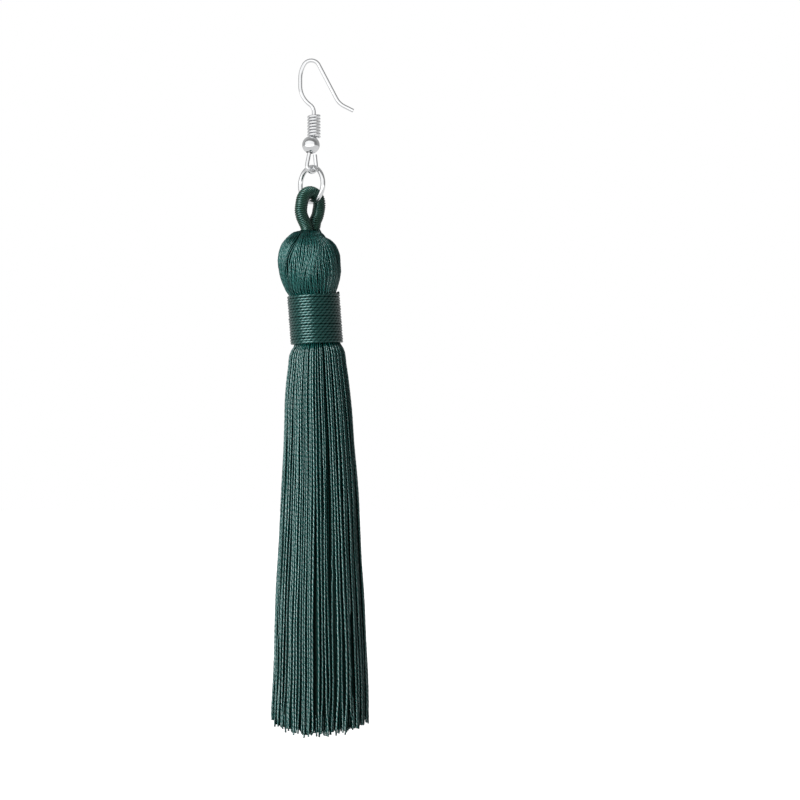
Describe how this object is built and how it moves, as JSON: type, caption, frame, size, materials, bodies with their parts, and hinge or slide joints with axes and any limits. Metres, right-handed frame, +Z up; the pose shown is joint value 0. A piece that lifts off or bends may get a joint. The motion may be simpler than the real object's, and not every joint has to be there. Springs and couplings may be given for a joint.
{
  "type": "tassel earring",
  "caption": "Drop earring: bent ear wire with a coil, a ball and an eye, jump ring, wound cord loop, round thread head, bound neck and long hanging skirt.",
  "frame": {"origin": "lowest point inside the crown of the ear wire, where the wire rests in the ear", "axes": "+Z up, +X to the right seen from the front, towards the ear wire's tip, +Y away from the front"},
  "size_m": [0.0174, 0.0175, 0.1199],
  "materials": {
    "silver_wire": "bright silver plating on drawn wire and a polished ball",
    "tassel_thread": "twisted silky thread in dark teal green",
    "wound_thread": "silky thread wound close, in a darker teal green"
  },
  "bodies": {
    "hook": {"ear_hook": "silver_wire", "hook_coil": "silver_wire", "hook_ball": "silver_wire"},
    "ring": {"jump_ring": "silver_wire"},
    "drop": {"thread_loop": "wound_thread", "tassel": "tassel_thread", "neck_wrap": "wound_thread"}
  },
  "joints": [
    {"name": "ring_swing", "type": "hinge", "parent": "hook", "child": "ring", "pos_m": [0.00006, -0.00038, -0.01946], "axis": [0.7314, 0.682, 0], "range_deg": [-60, 60]},
    {"name": "tassel_swing", "type": "hinge", "parent": "ring", "child": "drop", "pos_m": [0.00006, -0.00038, -0.02472], "axis": [0.682, -0.7314, 0], "range_deg": [-60, 60]}
  ]
}
